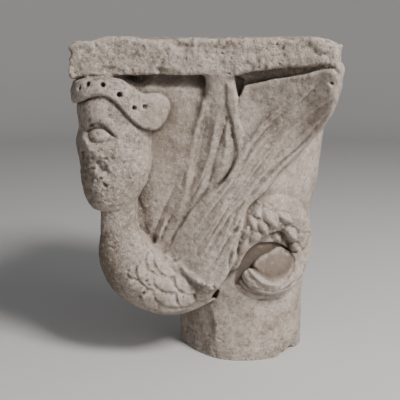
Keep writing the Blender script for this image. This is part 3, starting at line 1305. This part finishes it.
def limestone(settings):
    """Grey-beige limestone: mottled, pitted, brown where it is worn and dirty, pale on edges."""
    material = bpy.data.materials.new("weathered limestone")
    material.use_nodes = True
    tree = Tree(material.node_tree)
    shader = material.node_tree.nodes["Principled BSDF"]
    place = tree.add("ShaderNodeTexCoord").outputs["Object"]
    hollow, arris, patina, rough = (tree.mark(name) for name in MARKS)

    broad = tree.noise(place, 9, 3, 0.55)
    medium = tree.noise(place, 45, 5, 0.62, (3, 1, 2))
    fine = tree.noise(place, 230, 5, 0.72, (7, 2, 5))
    grain = tree.noise(place, 700, 3, 0.7, (1, 9, 4))
    pits = tree.add("ShaderNodeTexVoronoi", {}, {"Vector": place, "Scale": 330.0})
    pits = Value(tree, pits.outputs["Distance"])

    colour = tree.mix(broad.spread(0.35, 0.68), (*settings.stone, 1), (*settings.warm, 1))
    colour = tree.mix(medium.spread(0.44, 0.66) * 0.6, colour, (*settings.pale, 1))
    colour = tree.mix((1.0 - medium).spread(0.50, 0.68) * 0.55, colour, (*settings.brown, 1))
    colour = tree.mix(patina.clamp(), colour, (*settings.brown, 1))
    dirt = (hollow * -1.0).spread(0.02, 0.34)
    colour = tree.mix(dirt * 0.75, colour, (*settings.dirt, 1))
    furrow = (arris * -1.0).spread(0.02, 0.16)
    colour = tree.mix(furrow * 0.6, colour, (*settings.dirt, 1))
    colour = tree.mix(arris.spread(0.02, 0.12) * 0.5, colour, (*settings.pale, 1))
    contrast = (0.72 + rough * 0.4 - patina.clamp() * 0.5 - dirt * 0.6).clamp()
    dark = (1.0 - fine).spread(0.52, 0.66) * contrast * 0.75
    colour = tree.mix(dark, colour, (*settings.dirt, 1))
    specks = fine.spread(0.53, 0.66) * contrast
    colour = tree.mix(specks * 0.75, colour, (*settings.speck, 1))
    colour = tree.mix(grain.spread(0.56, 0.68) * contrast * 0.6, colour, (*settings.speck, 1))
    holes = (1.0 - pits.spread(0.0, 0.25)) * medium.spread(0.42, 0.6) * contrast
    colour = tree.mix(holes * 0.8, colour, (*settings.dirt, 1))
    material.node_tree.links.new(colour, shader.inputs["Base Color"])

    roughness = 0.86 + (medium - 0.5) * 0.14
    material.node_tree.links.new(roughness.socket, shader.inputs["Roughness"])
    shader.inputs["Specular IOR Level"].default_value = 0.25
    height = medium * 0.6 + fine * 0.9 + grain * 0.4 + pits.spread(0.0, 0.30) * 0.5
    height = height * (0.7 + rough * 1.1)
    bump = tree.add("ShaderNodeBump", {}, {"Strength": 0.9, "Distance": 0.0016, "Height": height})
    material.node_tree.links.new(bump.outputs[0], shader.inputs["Normal"])
    return material


def plain_material(name, colour, roughness):
    """Material of one colour."""
    material = bpy.data.materials.new(name)
    material.use_nodes = True
    shader = material.node_tree.nodes["Principled BSDF"]
    shader.inputs["Base Color"].default_value = (*colour, 1)
    shader.inputs["Roughness"].default_value = roughness
    return material


def weather_tree(material):
    """Geometry nodes that roughen a stone skin: soft unevenness and small pits."""
    group = bpy.data.node_groups.new("Weather", "GeometryNodeTree")
    for name, kind, value in (("Geometry", "NodeSocketGeometry", None),
                              ("Unevenness", "NodeSocketFloat", 0.0007),
                              ("Pit depth", "NodeSocketFloat", 0.0012),
                              ("Pit spacing", "NodeSocketFloat", 0.009),
                              ("Seed", "NodeSocketFloat", 3.0)):
        item = group.interface.new_socket(name, in_out="INPUT", socket_type=kind)
        if value is not None:
            item.default_value = value
    group.interface.new_socket("Geometry", in_out="OUTPUT", socket_type="NodeSocketGeometry")
    tree = Tree(group)
    given = tree.add("NodeGroupInput").outputs
    done = tree.add("NodeGroupOutput")
    place = tree.add("GeometryNodeInputPosition").outputs[0]
    normal = tree.add("GeometryNodeInputNormal").outputs[0]
    seed = Value(tree, given["Seed"])

    rough = tree.add("ShaderNodeTexNoise", {"noise_dimensions": "4D"},
                     {"Vector": place, "W": seed, "Scale": 130.0, "Detail": 4.0,
                      "Roughness": 0.62})
    rough = Value(tree, rough.outputs[0])
    density = Value(tree, tree.add("ShaderNodeMath", {"operation": "DIVIDE"},
                                   (1.0, given["Pit spacing"])).outputs[0])
    pits = tree.add("ShaderNodeTexVoronoi", {"voronoi_dimensions": "4D"},
                    {"Vector": place, "W": seed, "Scale": density})
    pits = Value(tree, pits.outputs["Distance"])
    patchy = tree.add("ShaderNodeTexNoise", {}, {"Vector": place, "Scale": 22.0, "Detail": 2.0})
    patchy = Value(tree, patchy.outputs[0]).spread(0.5, 0.72)
    height = (rough - 0.5) * 2.0 * Value(tree, given["Unevenness"])
    height = height - (1.0 - pits.spread(0.06, 0.30)) * patchy * Value(tree, given["Pit depth"])
    offset = tree.add("ShaderNodeVectorMath", {"operation": "SCALE"},
                      {"Vector": normal, "Scale": height})
    moved = tree.add("GeometryNodeSetPosition", {},
                     {"Geometry": given["Geometry"], "Offset": offset.outputs[0]})
    real = tree.add("GeometryNodeRealizeInstances", {}, {"Geometry": moved.outputs[0]})
    dressed = tree.add("GeometryNodeSetMaterial", {}, {"Geometry": real.outputs[0],
                                                       "Material": material})
    group.links.new(dressed.outputs[0], done.inputs[0])
    return group


def apply_modifiers(obj):
    """Keep the object's evaluated shape as its plain mesh."""
    graph = bpy.context.evaluated_depsgraph_get()
    mesh = bpy.data.meshes.new_from_object(obj.evaluated_get(graph), depsgraph=graph)
    obj.modifiers.clear()
    old = obj.data
    obj.data = mesh
    bpy.data.meshes.remove(old)
    mesh.name = obj.name


class CapitalStone(bpy.types.PropertyGroup):
    """Sizes and colours of the stone."""

    step: bpy.props.FloatProperty(
        name="Carving step", description="Spacing of the points that the stone is carved on",
        default=0.00125, unit="LENGTH", min=0.0008)
    relief: bpy.props.FloatProperty(
        name="Relief", description="Depth of the drawn carving, as a share of its usual depth",
        default=1.0, min=0.0, max=2.0)
    unevenness: bpy.props.FloatProperty(
        name="Unevenness", description="Height of the worn surface's small unevenness",
        default=0.0006, unit="LENGTH", min=0.0)
    pit_depth: bpy.props.FloatProperty(
        name="Pit depth", description="Depth of the weathered pits", default=0.0013,
        unit="LENGTH", min=0.0)
    pit_spacing: bpy.props.FloatProperty(
        name="Pit spacing", description="Distance from one pit to the next", default=0.0085,
        unit="LENGTH", min=0.002)
    plain_triangles: bpy.props.IntProperty(
        name="Plain triangles", description="Triangles left to the sides without carving",
        default=50000, min=5000)
    triangles: bpy.props.IntProperty(
        name="Triangles", description="Most triangles that the finished skin may have",
        default=190000, min=20000)
    stone: bpy.props.FloatVectorProperty(
        name="Stone", description="Main colour of the limestone", subtype="COLOR",
        default=(0.300, 0.256, 0.221), min=0.0, max=1.0)
    warm: bpy.props.FloatVectorProperty(
        name="Warm stone", description="Warmer patches of the limestone", subtype="COLOR",
        default=(0.332, 0.277, 0.233), min=0.0, max=1.0)
    pale: bpy.props.FloatVectorProperty(
        name="Pale stone", description="Rubbed and newly exposed stone", subtype="COLOR",
        default=(0.43, 0.375, 0.332), min=0.0, max=1.0)
    brown: bpy.props.FloatVectorProperty(
        name="Patina", description="Brown patina on the weathered side", subtype="COLOR",
        default=(0.165, 0.128, 0.100), min=0.0, max=1.0)
    dirt: bpy.props.FloatVectorProperty(
        name="Dirt", description="Dirt held in furrows and hollows", subtype="COLOR",
        default=(0.105, 0.082, 0.066), min=0.0, max=1.0)
    speck: bpy.props.FloatVectorProperty(
        name="Specks", description="Pale grains in the stone", subtype="COLOR",
        default=(0.55, 0.50, 0.465), min=0.0, max=1.0)


class CapitalStage(bpy.types.PropertyGroup):
    """Floor, light and camera."""

    floor: bpy.props.FloatVectorProperty(
        name="Floor", description="Colour of the floor", subtype="COLOR",
        default=(0.55, 0.545, 0.54), min=0.0, max=1.0)
    key: bpy.props.FloatProperty(
        name="Key light", description="Power of the main soft light", default=60.0,
        unit="POWER", min=0.0)
    fill: bpy.props.FloatProperty(
        name="Fill light", description="Power of the low light from the right", default=14.0,
        unit="POWER", min=0.0)
    room: bpy.props.FloatProperty(
        name="Room light", description="Strength of the even light of the room", default=0.27,
        min=0.0)
    lens: bpy.props.FloatProperty(
        name="Lens", description="Focal length of the camera", default=65.2, unit="CAMERA",
        min=1.0)


class CAPITAL_OT_carve(bpy.types.Operator):
    """Carve the siren capital out of one stone and weather its surface"""

    bl_idname = "capital.carve"
    bl_label = "Carve the stone"

    def execute(self, context):
        sizes = context.scene.capital_stone
        block = carve_stone(sizes.step / UNIT, sizes.relief)
        points, faces = block.skin()
        if len(faces) < 1000:
            raise RuntimeError("the stone has no surface")
        stone = bpy.data.objects.new("carved_stone", mesh_from("carved_stone", points, faces))
        context.scene.collection.objects.link(stone)
        material = limestone(sizes)
        self.weather(stone, block, sizes, material)
        self.colour_marks(stone, block)
        stone.data.shade_smooth()
        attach(stone, "root")
        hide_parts("capital")
        return {"FINISHED"}

    def seen(self, stone, block):
        """Which points face the carved front."""
        places = vertex_places(stone.data) / UNIT
        u, v, run = SHEET.place(*places.T.astype(float))
        across = np.clip(u, 0, 399).astype(int)
        down = np.clip(v, 0, 399).astype(int)
        return run < block.front[across, down] + 22

    def weather(self, stone, block, sizes, material):
        """Roughen the skin, then thin it to the triangles allowed, most on the plain sides."""
        group = weather_tree(material)
        nodes = stone.modifiers.new("Weather", "NODES")
        nodes.node_group = group
        for name, value in (("Unevenness", sizes.unevenness), ("Pit depth", sizes.pit_depth),
                            ("Pit spacing", sizes.pit_spacing), ("Seed", 3.0)):
            socket = group.interface.items_tree[name]
            nodes[socket.identifier] = value
        seen = self.seen(stone, block)
        away = stone.vertex_groups.new(name="away")
        away.add([int(n) for n in np.flatnonzero(~seen)], 1.0, "REPLACE")
        total = 2.0 * len(stone.data.polygons)
        shown = total * seen.mean()
        plain_side = stone.modifiers.new("Thin the plain sides", "DECIMATE")
        plain_side.vertex_group = "away"
        plain_side.ratio = min(1.0, (shown + sizes.plain_triangles) / total)
        thin = stone.modifiers.new("Thin", "DECIMATE")
        thin.ratio = min(1.0, sizes.triangles / (shown + sizes.plain_triangles))
        apply_modifiers(stone)
        stone.vertex_groups.clear()
        mesh = stone.data
        places = vertex_places(mesh)
        low = np.array(SOLID_LOW, dtype=np.float32)
        high = np.array(SOLID_HIGH, dtype=np.float32)
        beds = places[:, 2]
        beds[beds < 0.0006] = 0.0
        beds[beds > HEIGHT - 0.0006] = HEIGHT
        places = np.clip(places, low, high)
        mesh.vertices.foreach_set("co", places.ravel())
        mesh.update()

    def colour_marks(self, stone, block):
        """Give each point its hollowness, sharpness, patina and roughness for the colours."""
        mesh = stone.data
        places = vertex_places(mesh) / UNIT
        x, y, z = places.T
        left = ramp(-300, -400, x) * ramp(470, 560, z) * ramp(760, 640, z)
        breast = ramp(-230, -340, x) * ramp(470, 400, z)
        bell = ramp(-20, -80, x) * ramp(-250, -190, x) * ramp(560, 700, z) * ramp(870, 800, z)
        u, v, _ = SHEET.place(x, y, z)
        (u0, v0), (u1, v1) = COIL_PART
        sunk = []
        for edges, reach in ((DISC, FOOT + 46), (CRESCENT, FOOT + 24)):
            outside = Picture(*COIL_PART).outline(edges).sample(u, v)
            inside = ramp(2, -1, outside) * ramp(reach + 8, reach - 4, np.hypot(x, y))
            inside[(u < u0 + 1) | (u > u1 - 2) | (v < v0 + 1) | (v > v1 - 2) | (x < 0) | (y > 0)] = 0
            sunk.append(inside)
        disc, crescent = sunk
        hollow = block.sample(block.hollowness(44.0), places) - 0.13 * disc - 0.40 * crescent
        arris = block.sample(block.hollowness(10.0), places)
        patina = 0.8 * left + 0.95 * breast + 0.38 * bell + 0.85 * disc + 0.8 * crescent
        siren = ramp(-190, -240, x) * ramp(-190, -230, y)
        slab = 0.5 * ramp(TOP - 14, TOP + 2, z)
        foot = ramp(90, 20, z) * 0.6
        rough = np.clip(siren + slab + foot, 0, 1)
        for name, values in zip(MARKS, (hollow, arris, patina, rough)):
            layer = mesh.attributes.new(name, "FLOAT", "POINT")
            layer.data.foreach_set("value", values.astype(np.float32))


# The floor in metres: how far it is flat, its bend up and the height of its rim.
FLOOR_RADIUS, FLOOR_BEND, FLOOR_RIM = 2.4, 1.0, 3.6
# Place and size of each light, and the point that both look at.
KEY_PLACE, KEY_SIZE = (1.2, -0.95, 1.5), 0.5
FILL_PLACE, FILL_SIZE = (1.6, -0.7, 0.5), 1.2
LIGHT_AIM = Vector((0.0, 0.0, 0.2))


class CAPITAL_OT_stage(bpy.types.Operator):
    """Lay a pale floor, hang soft lights and place the camera"""

    bl_idname = "capital.stage"
    bl_label = "Set the stage"

    def execute(self, context):
        stage = context.scene.capital_stage
        self.floor(context, stage)
        self.light(context, "key", stage.key, KEY_SIZE, KEY_PLACE)
        self.light(context, "fill", stage.fill, FILL_SIZE, FILL_PLACE)
        world = bpy.data.worlds.new("room")
        world.use_nodes = True
        background = world.node_tree.nodes["Background"]
        background.inputs["Color"].default_value = (0.93, 0.95, 1.0, 1)
        background.inputs["Strength"].default_value = stage.room
        context.scene.world = world
        self.camera(context, stage)
        return {"FINISHED"}

    def floor(self, context, stage):
        """Round floor that bends up into a wall all around."""
        mesh = bpy.data.meshes.new("floor")
        profile = [(0.4, 0.0), (FLOOR_RADIUS, 0.0)]
        for turn in np.radians(np.linspace(0, 90, 13))[1:]:
            profile.append((FLOOR_RADIUS + FLOOR_BEND * np.sin(turn),
                            FLOOR_BEND * (1.0 - np.cos(turn))))
        profile.append((FLOOR_RADIUS + FLOOR_BEND, FLOOR_RIM))
        count = 72
        points = [(0.0, 0.0, 0.0)]
        for radius, z in profile:
            for turn in np.arange(count) * 2 * np.pi / count:
                points.append((radius * np.cos(turn), radius * np.sin(turn), z))
        faces = [(0, 1 + n, 1 + (n + 1) % count) for n in range(count)]
        for ring in range(len(profile) - 1):
            for n in range(count):
                here, there = 1 + ring * count, 1 + (ring + 1) * count
                m = (n + 1) % count
                faces.append((here + n, there + n, there + m, here + m))
        mesh.from_pydata(points, [], faces)
        mesh.shade_smooth()
        floor = bpy.data.objects.new("floor", mesh)
        context.scene.collection.objects.link(floor)
        floor.data.materials.append(plain_material("pale floor", stage.floor, 0.9))

    def light(self, context, name, power, size, place):
        """Soft square light that looks at the stone."""
        data = bpy.data.lights.new(name, "AREA")
        data.energy = power
        data.size = size
        data.color = (1.0, 0.97, 0.93)
        lamp = bpy.data.objects.new(name, data)
        lamp.location = place
        aim = LIGHT_AIM - Vector(place)
        lamp.rotation_euler = aim.to_track_quat("-Z", "Y").to_euler()
        context.scene.collection.objects.link(lamp)

    def camera(self, context, stage):
        """Camera at the eye that the sheet is seen from."""
        data = bpy.data.cameras.new("camera")
        data.sensor_width = 36.0
        data.lens = stage.lens
        camera = bpy.data.objects.new("camera", data)
        camera.location = EYE
        camera.rotation_euler = Vector(SHEET.ahead).to_track_quat("-Z", "Y").to_euler()
        context.scene.collection.objects.link(camera)
        context.scene.camera = camera


class CAPITAL_PT_panel(bpy.types.Panel):
    """Steps and sizes of the capital"""

    bl_label = "Capital"
    bl_idname = "CAPITAL_PT_panel"
    bl_space_type = "VIEW_3D"
    bl_region_type = "UI"
    bl_category = "Capital"

    def draw(self, context):
        for operator, group in ((CAPITAL_OT_carve, context.scene.capital_stone),
                                (CAPITAL_OT_stage, context.scene.capital_stage)):
            box = self.layout.box()
            box.operator(operator.bl_idname)
            for name in group.bl_rna.properties.keys():
                if name not in ("rna_type", "name"):
                    box.prop(group, name)


CLASSES = (CapitalStone, CapitalStage, CAPITAL_OT_carve, CAPITAL_OT_stage, CAPITAL_PT_panel)


def register():
    for item in CLASSES:
        bpy.utils.register_class(item)
    bpy.types.Scene.capital_stone = bpy.props.PointerProperty(type=CapitalStone)
    bpy.types.Scene.capital_stage = bpy.props.PointerProperty(type=CapitalStage)


def unregister():
    del bpy.types.Scene.capital_stage
    del bpy.types.Scene.capital_stone
    for item in reversed(CLASSES):
        bpy.utils.unregister_class(item)


def main():
    register()
    bpy.ops.capital.carve()
    bpy.ops.capital.stage()


if __name__ == "__main__":
    main()
